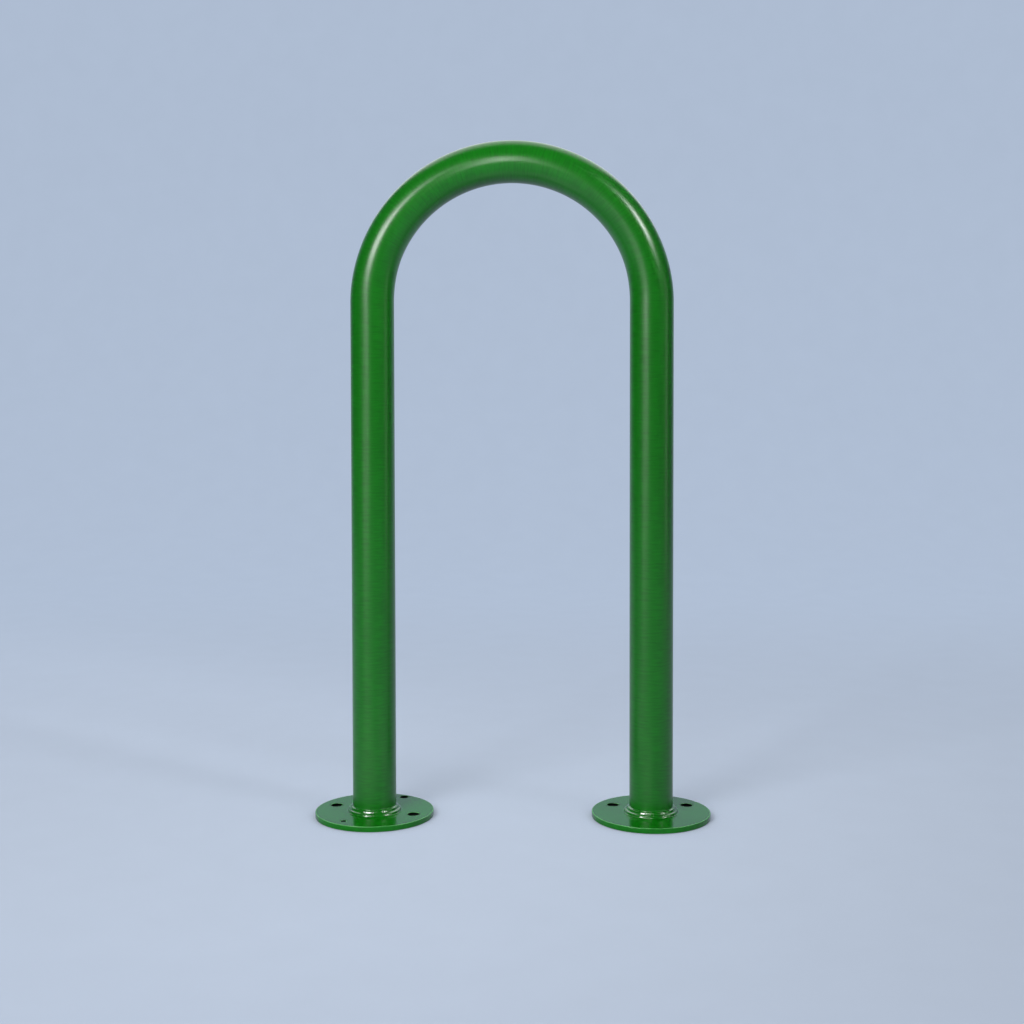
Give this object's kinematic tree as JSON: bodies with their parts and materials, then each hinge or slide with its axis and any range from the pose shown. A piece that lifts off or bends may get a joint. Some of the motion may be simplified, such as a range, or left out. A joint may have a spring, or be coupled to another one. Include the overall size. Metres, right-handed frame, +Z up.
{
  "type": "hoop barrier",
  "caption": "Arched hoop barrier bent from round steel tube, with a round bolt-down flange welded under each leg; powder coated green.",
  "frame": {"origin": "on the floor, midway between the two legs", "axes": "+Z up; +X from the left leg to the right leg seen from the front; the front faces -Y"},
  "size_m": [0.441, 0.132, 0.7499],
  "materials": {
    "green_powder_coated_tube": "gloss green powder coat over drawn steel tube",
    "green_powder_coated_plate": "gloss green powder coat over cut steel plate",
    "green_powder_coated_weld": "gloss green powder coat over a rippled weld bead"
  },
  "bodies": {
    "root": {"hoop_tube": "green_powder_coated_tube", "left_flange": "green_powder_coated_plate", "right_flange": "green_powder_coated_plate", "left_rear_weld": "green_powder_coated_weld", "left_front_weld": "green_powder_coated_weld", "right_rear_weld": "green_powder_coated_weld", "right_front_weld": "green_powder_coated_weld"}
  },
  "joints": []
}
